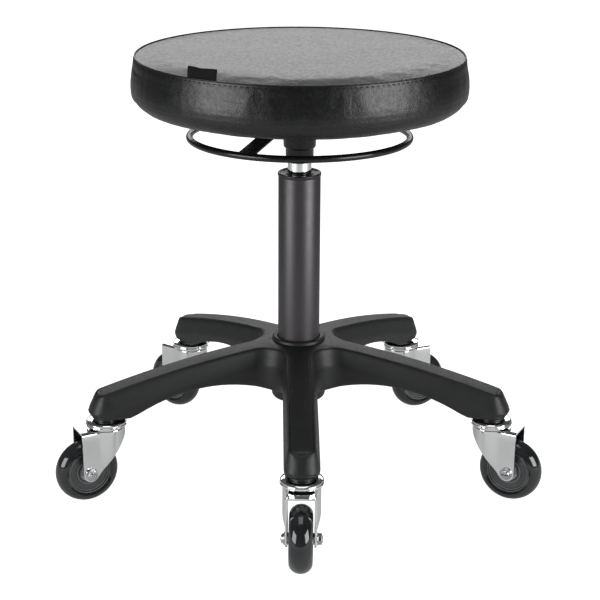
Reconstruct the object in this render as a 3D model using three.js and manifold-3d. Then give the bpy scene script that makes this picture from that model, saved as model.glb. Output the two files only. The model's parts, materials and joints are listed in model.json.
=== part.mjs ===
// Pedicure stool: round padded seat on a gas lift, ring lever and five-star caster base.
// Millimetres, +Z up. The origin is on the floor, under the middle of the whole stool.

import * as THREE from 'three';
import { mergeVertices } from 'three/addons/utils/BufferGeometryUtils.js';
import Module from 'manifold-3d';

const wasm = await Module();
wasm.setup();

// ---------------------------------------------------------------- driving dimensions

const GAP = 0.3;                      // clearance between pieces that touch
const COLUMN = { x: -0.6, y: 34.2 };  // column axis, measured from the origin

const ARM_COUNT = 5;
const FIRST_ARM = -89.5;              // direction of the front arm, degrees from +X
const CASTER_RADIUS = 240;            // caster stems, from the column axis
const CASTER_TURN = [-2.5, -9, -29.5, 16.8, 8];   // fork direction against its arm, degrees

// Star base: a flat-topped land with rounded sides, drooping towards its ends.
const LAND = { half: 12.2, nose: 255, corner: 10, fillet: 34 };
const ARM_CROWN = { z: 176.2, fall: 0.0755, droop: 0.00042 };
const ARM_ARCH = { z: 130, at: 112, curve: 0.00276, boss: 102 };
const SIDE = { bulge: 7.8, rim: 6, inner: 3.8, roof: 5 };
const RIB = { thick: 2.5, lift: 8, stations: [110, 170] };
const HUB = { outer: 33, collar: 30, top: 177, bottom: 100, bore: 25.3 };
const SOCKET = { boss: 10, bore: 5.8, top: 128 };

// Column and gas lift.
const TUBE = { outer: 25, inner: 23.2, bottom: 99, top: 375.7, floor: 3 };
const GUIDE = { cap: 25.6, top: 380, bottom: 300, bore: 14.3 };
const CYLINDER = { outer: 14, inner: 12.2, bottom: 128, taper: 405, tip: 13, top: 434, head: 418 };
const ROD = { radius: 5, bottom: 95.5, piston: 274, top: 284 };
const BUTTON = { radius: 3.2, bottom: 424, top: 447.9 };
const THRUST = { radius: 12, height: 4 };
const BUMPER = { radius: 11, clear: 3 };
const CLIP = { radius: 9, thick: 2.2 };

// Seat socket, ring lever and mounting plate.
const MECH = { bottom: 393, waist: 16.5, flare: 20, deck: 437, cage: 27, wall: 3, top: 452.4 };
const NECK = { height: 17, flare: 27 };   // the socket widens between these, above its foot
const WINDOW = { length: 16, play: 9 };   // openings in the cage for the lever's bars
const LEVER = { radius: 128.3, rod: 4, z: 423, slope: 14, width: 20, thick: 3, hub: 22 };
const LEVER_ANGLES = [-119, 61];
const LEVER_PLAY = 1.45;              // the ring hangs this many degrees out of level
const PLATE = { size: 170, corner: 15, bottom: 452.7, thick: 3, bolt: 65 };
const BOLT = { head: 6.5, height: 4.5, shank: 3, hole: 3.4, top: 467.5 };

// Seat.
const SEAT = { seam: 189.3, seamZ: 519.3, belly: 195.6, bellyZ: 484, top: 520.5, flat: 150 };
const UNDER = { z: 457.3, lip: 171, corner: 21, tuck: 1.8 };
const BOARD = { radius: 170, thick: 12 };
const COVER = { radius: 160, bottom: 456, thick: 1 };
const TAG = { angle: -123.9, radius: 189.5, width: 38, height: 11.8, thick: 0.9 };

// Casters, in their own frame: stem on the Z axis, wheel trailing along +X, floor at z = 0.
const TRAIL = 27;
const WHEEL = { radius: 38, tube: 12, half: 13, inset: 1.2, tread: 26, core: 11.3 };
const FORK = {
  top: 91, sheet: 2.5, half: 17.3, flare: 21.5, shoulder: -13, eye: 9.5, slant: 17, web: 13, bend: 14,
};
const RIVET = { radius: 8, height: 4.5, sunk: 0.5 };
const RACE = { radius: 24.3, bottom: 91.3, top: 98, edge: 2.4, lip: 3, washer: 14 };
const STEM = { radius: 5.5, top: 127.5 };
const AXLE = { radius: 4, head: 7.2, reach: 24, cap: 4, nut: 5.5 };
const CORE = { hub: 16, hubHalf: 8, half: 9.5, boreHalf: 9 };
const BEARING = { outer: 11, half: 9, sleeve: 6.5, sleeveHalf: 14.5 };

// Sides of round pieces, by size.
const FINE = 40;
const ROUND = 24;
const SMALL = 12;

// ---------------------------------------------------------------- materials

function finish(color, roughness, metalness) {
  return new THREE.MeshStandardMaterial({ color, roughness, metalness });
}

const looks = {
  vinyl: finish(0x1c1c1d, 0.42, 0),
  nylon: finish(0x222423, 0.5, 0),
  column: finish(0x3a383b, 0.35, 0.6),
  blackPlastic: finish(0x141414, 0.4, 0),
  blackSteel: finish(0x1a1a1a, 0.4, 0.3),
  chrome: finish(0xd8dadc, 0.12, 1),
  steel: finish(0xa8abad, 0.3, 1),
  tyre: finish(0x26282a, 0.2, 0),
  core: finish(0x55595b, 0.3, 0),
  rubber: finish(0x1f1f1f, 0.8, 0),
  plywood: finish(0xb58f5c, 0.7, 0),
  cloth: finish(0x161616, 0.95, 0),
};

// ---------------------------------------------------------------- geometry helpers

const rad = THREE.MathUtils.degToRad;

// Revolves an outline of [radius, height] points about the Z axis.
function lathe(outline, segments) {
  const points = outline.map(([r, z]) => new THREE.Vector2(r, z));
  return new THREE.LatheGeometry(points, segments).rotateX(Math.PI / 2);
}

// Revolves a ring's outline, which closes on itself.
function ring(outline, segments) {
  return lathe([...outline, outline[0]], segments);
}

function cylinder(radius, z0, z1, segments) {
  return lathe([[0, z0], [radius, z0], [radius, z1], [0, z1]], segments);
}

function plateOf(shape, z0, thickness, curveSegments = 8) {
  const options = { depth: thickness, bevelEnabled: false, curveSegments };
  return new THREE.ExtrudeGeometry(shape, options).translate(0, 0, z0);
}

function roundedSquare(size, corner) {
  const half = size / 2;
  const inset = half - corner;
  const shape = new THREE.Shape();
  shape.absarc(inset, inset, corner, 0, rad(90));
  shape.absarc(-inset, inset, corner, rad(90), rad(180));
  shape.absarc(-inset, -inset, corner, rad(180), rad(270));
  shape.absarc(inset, -inset, corner, rad(270), rad(360));
  shape.closePath();
  return shape;
}

function circleShape(radius) {
  const shape = new THREE.Shape();
  shape.absarc(0, 0, radius, 0, 2 * Math.PI);
  return shape;
}

function boltPlaces() {
  return [[1, 1], [-1, 1], [-1, -1], [1, -1]].map(([x, y]) => [x * PLATE.bolt, y * PLATE.bolt]);
}

function withBoltHoles(shape, radius) {
  for (const [x, y] of boltPlaces()) {
    const hole = new THREE.Path();
    hole.absarc(x, y, radius, 0, 2 * Math.PI);
    shape.holes.push(hole);
  }
  return shape;
}

// A closed geometry as a solid that can be joined and cut.
function solid(geometry) {
  const bare = geometry.clone();
  bare.deleteAttribute('normal');
  bare.deleteAttribute('uv');
  const merged = mergeVertices(bare, 1e-4);
  const triangles = [];
  for (let i = 0; i < merged.index.count; i += 3) {
    const [a, b, c] = [0, 1, 2].map((k) => merged.index.getX(i + k));
    if (a !== b && b !== c && c !== a) triangles.push(a, b, c);
  }
  return new wasm.Manifold(new wasm.Mesh({
    numProp: 3,
    vertProperties: new Float32Array(merged.attributes.position.array),
    triVerts: new Uint32Array(triangles),
  }));
}

function geometryOf(manifold) {
  const mesh = manifold.getMesh();
  const geometry = new THREE.BufferGeometry();
  geometry.setAttribute('position', new THREE.BufferAttribute(mesh.vertProperties, 3));
  geometry.setIndex(new THREE.BufferAttribute(mesh.triVerts, 1));
  const flat = geometry.toNonIndexed();
  flat.computeVertexNormals();
  return flat;
}

function join(geometries) {
  return geometries.map(solid).reduce((whole, next) => whole.add(next));
}

function cut(body, tools) {
  return tools.map(solid).reduce((whole, tool) => whole.subtract(tool), body);
}

function piece(name, geometry, material) {
  const mesh = new THREE.Mesh(geometry, material);
  mesh.name = name;
  return mesh;
}

// ---------------------------------------------------------------- star base

function armTop(r) {
  return ARM_CROWN.z - ARM_CROWN.fall * r - ARM_CROWN.droop * r * r;
}

function armBottom(r) {
  const off = r - ARM_ARCH.at;
  return Math.max(ARM_ARCH.boss, ARM_ARCH.z - ARM_ARCH.curve * off * off);
}

// The land's edge from the middle of the nose to the middle of the valley beside the arm. Each
// point has its outward normal and the inner point that it faces, on the arm's centre line or,
// in the valley, on the hub's circle.
function landEdge() {
  const edge = [{ x: LAND.nose, y: 0, nx: 1, ny: 0, ix: CASTER_RADIUS, iy: 0 }];
  for (const turn of [0, 45, 90]) {
    const nx = Math.cos(rad(turn));
    const ny = Math.sin(rad(turn));
    const x = LAND.nose - LAND.corner + LAND.corner * nx;
    const y = LAND.half - LAND.corner + LAND.corner * ny;
    edge.push({ x, y, nx, ny, ix: CASTER_RADIUS, iy: 0 });
  }
  const valley = Math.PI / ARM_COUNT;
  const centreX = (LAND.half + LAND.fillet) / Math.tan(valley);
  for (const x of [205, 150, 100]) {
    const along = (x - centreX) / (LAND.nose - LAND.corner - centreX);
    const ix = HUB.outer + along * (CASTER_RADIUS - HUB.outer);
    edge.push({ x, y: LAND.half, nx: 0, ny: 1, ix, iy: 0 });
  }
  const filletSteps = 3;
  for (let i = 0; i <= filletSteps; i++) {
    const part = i / filletSteps;
    const turn = -Math.PI / 2 - part * (Math.PI / 2 - valley);
    const x = centreX + LAND.fillet * Math.cos(turn);
    const y = LAND.half + LAND.fillet + LAND.fillet * Math.sin(turn);
    const ix = HUB.outer * Math.cos(part * valley);
    const iy = HUB.outer * Math.sin(part * valley);
    edge.push({ x, y, nx: -Math.cos(turn), ny: -Math.sin(turn), ix, iy, hub: true });
  }
  return edge;
}

// One cut through the base at an edge point, from the top inner point, over the land and down
// the side, round the rim and back along the underside to the same inner point.
function baseColumn(point) {
  const top = armTop(Math.hypot(point.x, point.y));
  const inner = Math.hypot(point.ix, point.iy);
  const at = (out, height) => {
    const x = point.x + out * point.nx;
    const y = point.y + out * point.ny;
    const floor = armBottom(Math.hypot(x, y));
    return [x, y, height(floor)];
  };
  return [
    [point.ix, point.iy, armTop(inner)],
    at(0, () => top),
    at(3.5, () => top - 3.5),
    at(6.2, (floor) => Math.max(top - 12, floor + 8)),
    at(SIDE.bulge, (floor) => Math.max(top - 24, floor + 6)),
    at(SIDE.bulge, (floor) => floor + 4),
    at(SIDE.rim, (floor) => floor),
    at(SIDE.inner, (floor) => floor),
    at(1.5, () => top - 2 * SIDE.roof),
    [point.ix, point.iy, armTop(inner) - SIDE.roof],
  ];
}

// The hub's tube at an inner point, from the underside round the bore to the top.
function hubColumn(point) {
  const ux = point.ix / HUB.outer;
  const uy = point.iy / HUB.outer;
  const at = (r, z) => [r * ux, r * uy, z];
  return [
    at(HUB.outer, armTop(HUB.outer) - SIDE.roof),
    at(HUB.outer, HUB.bottom + 6),
    at(HUB.outer - 2, HUB.bottom),
    at(HUB.bore, HUB.bottom),
    at(HUB.bore, HUB.top),
    at(HUB.collar, HUB.top),
    at(HUB.outer, armTop(HUB.outer)),
  ];
}

function turned([x, y, z], angle) {
  const c = Math.cos(angle);
  const s = Math.sin(angle);
  return [x * c - y * s, x * s + y * c, z];
}

// The columns all the way round the star, each one turned into place.
function baseColumns() {
  const half = landEdge();
  const mirrored = half.map((p) => ({ ...p, y: -p.y, ny: -p.ny, iy: -p.iy }));
  const arm = [...mirrored.reverse(), ...half.slice(1)];
  const columns = [];
  for (let k = 0; k < ARM_COUNT; k++) {
    const angle = rad(FIRST_ARM) + k * 2 * Math.PI / ARM_COUNT;
    for (const point of arm.slice(1)) {
      columns.push({
        skin: baseColumn(point).map((p) => turned(p, angle)),
        hub: point.hub ? hubColumn(point).map((p) => turned(p, angle)) : null,
      });
    }
  }
  return columns;
}

function stitch(positions, a, b) {
  for (let i = 0; i + 1 < a.length; i++) {
    positions.push(...a[i], ...a[i + 1], ...b[i + 1]);
    positions.push(...a[i], ...b[i + 1], ...b[i]);
  }
}

function baseShell() {
  const columns = baseColumns();
  const positions = [];
  columns.forEach((column, i) => {
    const next = columns[(i + 1) % columns.length];
    stitch(positions, column.skin, next.skin);
    if (column.hub && next.hub) stitch(positions, column.hub, next.hub);
  });
  const geometry = new THREE.BufferGeometry();
  geometry.setAttribute('position', new THREE.Float32BufferAttribute(positions, 3));
  return geometry;
}

// The ribs under one arm: one along it and a few across it.
function armRibs(angle) {
  const from = HUB.outer - 1.5;
  const to = CASTER_RADIUS - 8;
  const stations = [from, ...RIB.stations, to];
  const shape = new THREE.Shape();
  stations.forEach((r, i) => shape[i ? 'lineTo' : 'moveTo'](r, armTop(r) - 2));
  [...stations].reverse().forEach((r) => shape.lineTo(r, armBottom(r) + RIB.lift));
  shape.closePath();
  const along = new THREE.ExtrudeGeometry(shape, { depth: RIB.thick, bevelEnabled: false });
  along.translate(0, 0, -RIB.thick / 2).rotateX(Math.PI / 2);
  const across = RIB.stations.map((r) => {
    const low = armBottom(r) + RIB.lift;
    const high = armTop(r) - 2.5;
    const rib = new THREE.Shape();
    rib.moveTo(-LAND.half, high);
    rib.lineTo(-LAND.half - SIDE.inner, high - 11);
    rib.lineTo(-LAND.half - SIDE.inner - 2, low);
    rib.lineTo(LAND.half + SIDE.inner + 2, low);
    rib.lineTo(LAND.half + SIDE.inner, high - 11);
    rib.lineTo(LAND.half, high);
    rib.closePath();
    const plate = new THREE.ExtrudeGeometry(rib, { depth: RIB.thick, bevelEnabled: false });
    return plate.rotateX(Math.PI / 2).rotateZ(Math.PI / 2).translate(r, 0, 0);
  });
  return [along, ...across].map((g) => g.rotateZ(angle));
}

// The fifth of the star that holds one arm, with half a clearance left along its cuts.
function armSector(angle) {
  const half = Math.PI / ARM_COUNT;
  const tip = GAP / 2 / Math.sin(half);
  const reach = 2 * CASTER_RADIUS;
  const shape = new THREE.Shape();
  shape.moveTo(tip, 0);
  shape.lineTo(tip + reach * Math.cos(half), -reach * Math.sin(half));
  shape.lineTo(tip + reach * Math.cos(half), reach * Math.sin(half));
  shape.closePath();
  return plateOf(shape, 0, 2 * HUB.top).rotateZ(angle);
}

function armAngle(k) {
  return rad(FIRST_ARM) + k * 2 * Math.PI / ARM_COUNT;
}

// One moulding, given as five equal sectors with an arm in each.
function starBase() {
  const parts = [baseShell()];
  const bores = [];
  const sectors = [];
  for (let k = 0; k < ARM_COUNT; k++) {
    const angle = armAngle(k);
    sectors.push(armSector(angle));
    const x = CASTER_RADIUS * Math.cos(angle);
    const y = CASTER_RADIUS * Math.sin(angle);
    parts.push(...armRibs(angle));
    const boss = cylinder(SOCKET.boss, ARM_ARCH.boss, armTop(CASTER_RADIUS) - 2, SMALL);
    parts.push(boss.translate(x, y, 0));
    const bore = cylinder(SOCKET.bore, ARM_ARCH.boss - 5, SOCKET.top, SMALL);
    bores.push(bore.translate(x, y, 0));
  }
  const star = cut(join(parts), bores);
  return sectors.map((sector, k) => {
    const arm = geometryOf(star.intersect(solid(sector)));
    return piece(`base_arm_${k + 1}`, arm, looks.nylon);
  });
}

// ---------------------------------------------------------------- column and gas lift

function columnTube() {
  return ring([
    [TUBE.inner, TUBE.bottom], [TUBE.outer, TUBE.bottom], [TUBE.outer, TUBE.top],
    [TUBE.inner, TUBE.top],
  ], ROUND);
}

// The disc pressed into the bottom of the tube, which carries the rod.
function columnFloor() {
  const hole = ROD.radius + 2 * GAP;
  const rim = TUBE.inner - GAP;
  const top = TUBE.bottom + TUBE.floor;
  return ring([[hole, TUBE.bottom], [rim, TUBE.bottom], [rim, top], [hole, top]], ROUND);
}

function columnGuide() {
  const sleeve = TUBE.inner - GAP;
  const under = TUBE.top + GAP;
  return ring([
    [GUIDE.bore, GUIDE.bottom], [sleeve, GUIDE.bottom], [sleeve, under], [GUIDE.cap, under],
    [GUIDE.cap, GUIDE.top - 1], [GUIDE.cap - 1, GUIDE.top], [GUIDE.bore, GUIDE.top],
  ], ROUND);
}

function gasCylinder() {
  const rodHole = ROD.radius + GAP;
  const buttonHole = BUTTON.radius + GAP;
  return ring([
    [rodHole, CYLINDER.bottom], [CYLINDER.outer, CYLINDER.bottom],
    [CYLINDER.outer, CYLINDER.taper], [CYLINDER.tip, CYLINDER.top], [buttonHole, CYLINDER.top],
    [buttonHole, CYLINDER.head], [CYLINDER.inner, CYLINDER.head],
    [CYLINDER.inner, CYLINDER.bottom + 5], [rodHole, CYLINDER.bottom + 5],
  ], ROUND);
}

function pistonRod() {
  const piston = CYLINDER.inner - GAP;
  return lathe([
    [0, ROD.bottom], [ROD.radius, ROD.bottom], [ROD.radius, ROD.piston], [piston, ROD.piston],
    [piston, ROD.top], [0, ROD.top],
  ], SMALL);
}

function rodRing(outer, z0, z1) {
  const inner = ROD.radius + GAP;
  return ring([[inner, z0], [outer, z0], [outer, z1], [inner, z1]], SMALL);
}

function gasLift() {
  const group = new THREE.Group();
  const floor = TUBE.bottom + TUBE.floor;
  const bearingTop = floor + GAP + THRUST.height;
  const bumperTop = CYLINDER.bottom - BUMPER.clear;
  const clipTop = TUBE.bottom - GAP;
  group.add(
    piece('column_tube', columnTube(), looks.column),
    piece('column_floor', columnFloor(), looks.steel),
    piece('column_guide', columnGuide(), looks.blackPlastic),
    piece('gas_cylinder', gasCylinder(), looks.chrome),
    piece('piston_rod', pistonRod(), looks.steel),
    piece('thrust_bearing', rodRing(THRUST.radius, floor + GAP, bearingTop), looks.steel),
    piece('rubber_bumper', rodRing(BUMPER.radius, bearingTop + GAP, bumperTop), looks.rubber),
    piece('retaining_clip', rodRing(CLIP.radius, clipTop - CLIP.thick, clipTop), looks.steel),
    piece('release_button', cylinder(BUTTON.radius, BUTTON.bottom, BUTTON.top, SMALL), looks.steel),
  );
  return group;
}

// ---------------------------------------------------------------- seat socket and lever

// The taper socket, with a cage above it that carries the plate and has a window for each arm.
function seatSocket() {
  const low = CYLINDER.outer + GAP;
  const high = CYLINDER.tip + GAP;
  const inside = MECH.cage - MECH.wall;
  const body = solid(ring([
    [low, MECH.bottom], [MECH.waist - 1.5, MECH.bottom], [MECH.waist, MECH.bottom + 2],
    [MECH.waist, MECH.bottom + NECK.height], [MECH.flare, MECH.bottom + NECK.flare],
    [MECH.flare, MECH.deck - 4],
    [MECH.cage, MECH.deck - 1], [MECH.cage, MECH.top], [inside, MECH.top], [inside, MECH.deck],
    [high, MECH.deck], [high, CYLINDER.top], [low, CYLINDER.taper],
  ], ROUND));
  const windows = LEVER_ANGLES.map((angle) => {
    const height = MECH.top + 2 - MECH.deck;
    const box = new THREE.BoxGeometry(WINDOW.length, LEVER.width + WINDOW.play, height);
    return box.translate(MECH.cage, 0, MECH.deck + height / 2).rotateZ(rad(angle));
  });
  return geometryOf(cut(body, windows));
}

function leverRing() {
  const turns = 8;
  const outline = [];
  for (let i = 0; i < turns; i++) {
    const a = 2 * Math.PI * i / turns;
    outline.push([LEVER.radius + LEVER.rod * Math.cos(a), LEVER.z + LEVER.rod * Math.sin(a)]);
  }
  return ring(outline, FINE);
}

function leverHub() {
  const low = BUTTON.top + GAP;
  return lathe([
    [0, low], [LEVER.hub, low], [LEVER.hub, MECH.top - 1.5], [LEVER.hub - 2, MECH.top],
    [0, MECH.top],
  ], SMALL);
}

// A flat bar that rises from the ring to the hub.
function leverArm(angle) {
  const slope = rad(LEVER.slope);
  const outer = LEVER.radius - LEVER.rod - 1.1;
  const inner = LEVER.hub + 0.8;
  const length = (outer - inner) / Math.cos(slope);
  const middle = (outer + inner) / 2;
  const rise = (LEVER.radius - middle) * Math.tan(slope);
  const bar = new THREE.BoxGeometry(length, LEVER.width, LEVER.thick);
  return bar.rotateY(slope).translate(middle, 0, LEVER.z + rise).rotateZ(rad(angle));
}

function ringLever() {
  const pivot = new THREE.Group();
  pivot.position.set(0, 0, MECH.top);
  pivot.rotation.x = -rad(LEVER_PLAY);
  const parts = new THREE.Group();
  parts.position.set(0, 0, -MECH.top);
  parts.add(piece('lever_ring', leverRing(), looks.blackSteel));
  LEVER_ANGLES.forEach((angle, i) => {
    parts.add(piece(`lever_arm_${i + 1}`, leverArm(angle), looks.blackSteel));
  });
  pivot.add(parts);
  const group = new THREE.Group();
  group.add(pivot, piece('lever_hub', leverHub(), looks.blackSteel));
  return group;
}

// ---------------------------------------------------------------- seat

function plateBolt(x, y) {
  const low = PLATE.bottom - GAP - BOLT.height;
  const outline = [
    [0, low], [BOLT.head, low], [BOLT.head, low + BOLT.height], [BOLT.shank, low + BOLT.height],
    [BOLT.shank, BOLT.top], [0, BOLT.top],
  ];
  return lathe(outline, 6).translate(x, y, 0);
}

// Vinyl over foam, open underneath where it wraps round the board.
function seatCushion() {
  const ceiling = UNDER.z + BOARD.thick + GAP;
  const outline = [[0, ceiling], [UNDER.lip, ceiling], [UNDER.lip, UNDER.z]];
  const centre = SEAT.belly - UNDER.tuck - UNDER.corner;
  for (const turn of [-90, -60, -30]) {
    const r = centre + UNDER.corner * Math.cos(rad(turn));
    const z = UNDER.z + UNDER.corner + UNDER.corner * Math.sin(rad(turn));
    outline.push([r, z]);
  }
  outline.push(
    [SEAT.belly, SEAT.bellyZ], [SEAT.belly - 0.8, SEAT.bellyZ + 15],
    [SEAT.seam + 2.2, SEAT.seamZ - 9], [SEAT.seam, SEAT.seamZ],
    [SEAT.flat, SEAT.top], [0, SEAT.top],
  );
  return lathe(outline, FINE);
}

// A woven label sewn into the seam, standing up from it.
function tag() {
  const box = new THREE.BoxGeometry(TAG.thick, TAG.width, TAG.height);
  const middle = SEAT.seamZ + 2 * GAP + TAG.height / 2;
  return box.translate(TAG.radius, 0, middle).rotateZ(rad(TAG.angle));
}

function seat() {
  const group = new THREE.Group();
  const plate = withBoltHoles(roundedSquare(PLATE.size, PLATE.corner), BOLT.hole);
  const cover = withBoltHoles(circleShape(COVER.radius), BOLT.hole);
  const board = withBoltHoles(circleShape(BOARD.radius), BOLT.hole);
  group.add(
    piece('seat_socket', seatSocket(), looks.blackSteel),
    piece('seat_plate', plateOf(plate, PLATE.bottom, PLATE.thick, 4), looks.blackSteel),
    piece('dust_cover', plateOf(cover, COVER.bottom, COVER.thick), looks.cloth),
    piece('seat_board', plateOf(board, UNDER.z, BOARD.thick), looks.plywood),
    piece('seat_cushion', seatCushion(), looks.vinyl),
    piece('tag', tag(), looks.cloth),
  );
  boltPlaces().forEach(([x, y], i) => {
    group.add(piece(`plate_bolt_${i + 1}`, plateBolt(x, y), looks.steel));
  });
  return group;
}

// ---------------------------------------------------------------- casters

function casterStem() {
  const washerTop = ARM_ARCH.boss - GAP;
  return lathe([
    [0, RACE.bottom], [RACE.radius - 2, RACE.bottom], [RACE.radius, RACE.bottom + RACE.edge],
    [RACE.radius, RACE.top - RACE.edge], [RACE.washer + RACE.lip, RACE.top],
    [RACE.washer, washerTop],
    [STEM.radius, washerTop], [STEM.radius, STEM.top], [0, STEM.top],
  ], SMALL);
}

function forkLeg() {
  const shape = new THREE.Shape();
  shape.moveTo(FORK.shoulder, FORK.top);
  shape.lineTo(FORK.shoulder, FORK.top - FORK.slant);
  shape.absarc(TRAIL, WHEEL.radius, FORK.eye, rad(222), rad(360), false);
  shape.lineTo(TRAIL + FORK.eye, FORK.top);
  shape.closePath();
  const leg = new THREE.ExtrudeGeometry(shape, {
    depth: FORK.sheet, bevelEnabled: false, curveSegments: 5,
  });
  return leg.rotateX(Math.PI / 2);
}

function forkCrown() {
  const shape = new THREE.Shape();
  shape.moveTo(TRAIL + FORK.eye, -FORK.half);
  shape.lineTo(TRAIL + FORK.eye, FORK.half);
  shape.lineTo(FORK.bend, FORK.half);
  shape.absarc(0, 0, FORK.flare, rad(54), rad(306), false);
  shape.lineTo(FORK.bend, -FORK.half);
  shape.closePath();
  return plateOf(shape, FORK.top - FORK.sheet, FORK.sheet, 5);
}

// The bent rear of the fork, which follows the crown between the legs.
function forkWeb() {
  const shape = new THREE.Shape();
  shape.absarc(0, 0, FORK.flare, rad(126), rad(234), false);
  shape.absarc(0, 0, FORK.flare - FORK.sheet, rad(234), rad(126), true);
  shape.closePath();
  return plateOf(shape, FORK.top - FORK.web, FORK.web, 4);
}

// Two legs, a crown, a rear web and the rivet head that holds the crown to the race.
function casterFork() {
  const rivetTop = FORK.top - RIVET.sunk;
  const rivet = cylinder(RIVET.radius, rivetTop - RIVET.height, rivetTop, 8);
  const parts = [
    forkCrown(), forkWeb(), rivet,
    forkLeg().translate(0, FORK.half, 0),
    forkLeg().translate(0, -FORK.half + FORK.sheet, 0),
  ];
  const hole = cylinder(AXLE.radius + 2 * GAP, -2 * FORK.half, 2 * FORK.half, 8);
  hole.rotateX(Math.PI / 2).translate(TRAIL, 0, WHEEL.radius);
  return geometryOf(cut(join(parts), [hole]));
}

// Turned pieces of the wheel have their outline along the axle, then lie down on it.
function onAxle(geometry) {
  return geometry.rotateX(Math.PI / 2).translate(TRAIL, 0, WHEEL.radius);
}

// A bolt through the fork with its head on one side and its nut run up on the other.
function axleBolt() {
  const face = FORK.half + GAP;
  return onAxle(lathe([
    [0, -AXLE.reach], [AXLE.radius, -AXLE.reach], [AXLE.radius, -face - AXLE.nut],
    [AXLE.head - 1, -face - AXLE.nut], [AXLE.head, -face], [AXLE.radius, -face],
    [AXLE.radius, face], [AXLE.head, face], [AXLE.head - 1, face + AXLE.cap],
    [0, face + AXLE.cap],
  ], 8));
}

function wheelTyre() {
  const outline = [[WHEEL.tread, -WHEEL.half + WHEEL.inset]];
  const flat = 12;
  const side = 72;
  const crown = WHEEL.tube / Math.cos(rad(flat));
  const widen = WHEEL.half / (crown * Math.sin(rad(side)));
  for (const turn of [-side, -40, -flat, flat, 40, side]) {
    outline.push([WHEEL.tread + crown * Math.cos(rad(turn)), widen * crown * Math.sin(rad(turn))]);
  }
  outline.push([WHEEL.tread, WHEEL.half - WHEEL.inset]);
  return onAxle(ring(outline, 20));
}

function wheelCore() {
  const rim = WHEEL.tread - GAP;
  return onAxle(ring([
    [WHEEL.core, -CORE.boreHalf], [CORE.hub, -CORE.hubHalf], [rim, -CORE.half],
    [rim, CORE.half], [CORE.hub, CORE.hubHalf], [WHEEL.core, CORE.boreHalf],
  ], 20));
}

function wheelBearing() {
  const bore = AXLE.radius + 2 * GAP;
  return onAxle(ring([
    [bore, -BEARING.sleeveHalf], [BEARING.sleeve, -BEARING.sleeveHalf],
    [BEARING.sleeve, -BEARING.half], [BEARING.outer, -BEARING.half],
    [BEARING.outer, BEARING.half], [BEARING.sleeve, BEARING.half],
    [BEARING.sleeve, BEARING.sleeveHalf], [bore, BEARING.sleeveHalf],
  ], 10));
}

function caster(number, angle, turn) {
  const group = new THREE.Group();
  group.position.set(CASTER_RADIUS * Math.cos(angle), CASTER_RADIUS * Math.sin(angle), 0);
  group.rotation.z = angle + rad(turn);
  const name = (part) => `caster_${number}_${part}`;
  group.add(
    piece(name('stem'), casterStem(), looks.chrome),
    piece(name('fork'), casterFork(), looks.chrome),
    piece(name('axle'), axleBolt(), looks.steel),
    piece(name('tyre'), wheelTyre(), looks.tyre),
    piece(name('core'), wheelCore(), looks.core),
    piece(name('bearing'), wheelBearing(), looks.steel),
  );
  return group;
}

// ---------------------------------------------------------------- assembly

const stool = new THREE.Group();
stool.name = 'pedicure_stool';
const standing = new THREE.Group();
standing.position.set(COLUMN.x, COLUMN.y, 0);
standing.add(...starBase(), gasLift(), ringLever(), seat());
CASTER_TURN.forEach((turn, k) => {
  standing.add(caster(k + 1, armAngle(k), turn));
});
stool.add(standing);

export default stool;
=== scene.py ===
"""Pedicure stool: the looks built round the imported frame. Metres, +Z up.

Outlines of turned and pressed pieces are written in millimetres and scaled by MM.
"""

import json
import math

import bmesh
import bpy
import numpy as np
from mathutils import Matrix, Vector, noise
from mathutils.bvhtree import BVHTree

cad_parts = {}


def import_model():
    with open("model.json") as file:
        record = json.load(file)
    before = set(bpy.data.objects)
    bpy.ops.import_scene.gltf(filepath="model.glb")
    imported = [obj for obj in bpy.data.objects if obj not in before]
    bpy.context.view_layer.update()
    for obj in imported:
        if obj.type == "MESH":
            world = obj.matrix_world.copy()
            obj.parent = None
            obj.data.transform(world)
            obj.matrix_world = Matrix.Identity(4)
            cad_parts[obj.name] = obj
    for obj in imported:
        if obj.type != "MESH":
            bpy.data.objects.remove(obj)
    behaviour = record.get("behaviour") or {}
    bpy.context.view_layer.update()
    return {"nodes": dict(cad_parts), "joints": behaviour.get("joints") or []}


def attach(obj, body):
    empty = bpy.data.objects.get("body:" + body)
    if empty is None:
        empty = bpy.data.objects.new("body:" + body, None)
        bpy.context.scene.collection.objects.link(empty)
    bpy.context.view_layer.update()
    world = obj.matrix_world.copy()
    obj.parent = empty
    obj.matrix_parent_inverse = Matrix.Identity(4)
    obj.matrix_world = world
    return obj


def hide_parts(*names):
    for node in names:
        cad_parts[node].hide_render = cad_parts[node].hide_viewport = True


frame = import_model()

MM = 0.001
TAU = 2 * math.pi
JOINTS = {joint["name"]: joint for joint in frame["joints"]}
COLUMN = Vector((JOINTS["seat_swivel"]["pos_m"][0], JOINTS["seat_swivel"]["pos_m"][1], 0))

# ---------------------------------------------------------------- sizes, in millimetres

ARM_COUNT = 5
CASTER_RADIUS = 240
LAND = {"half": 12.2, "nose": 255, "corner": 10, "fillet": 34}
ARM_CROWN = {"z": 176.2, "fall": 0.0755, "droop": 0.00042}
ARM_ARCH = {"z": 130, "at": 112, "curve": 0.00276, "boss": 102}
HUB = {"outer": 33, "bottom": 100, "bore": 25.3}
TRAIL = 27
WHEEL_RADIUS = 38
LEVER = {"radius": 128.3, "rod": 4, "z": 423, "slope": 14, "width": 20, "thick": 3, "top": 452.4}
LEVER_ANGLES = (-119, 61)
LEVER_PLAY = 1.45
SEAM = {"radius": 189.3, "z": 519.3}
SEAT_UNDER = 457.3
FORK = {"top": 91, "bend": 2.6, "sheet": 2.3, "eye": 9.5, "flat_from": 12, "crown_back": -8}
CLOTH_FRAMES = 16
STITCHES = 188
STITCH_DROP = 3.4
TAG = {"angle": -123.9, "radius": 189.0, "width": 38, "height": 11.8}

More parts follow.
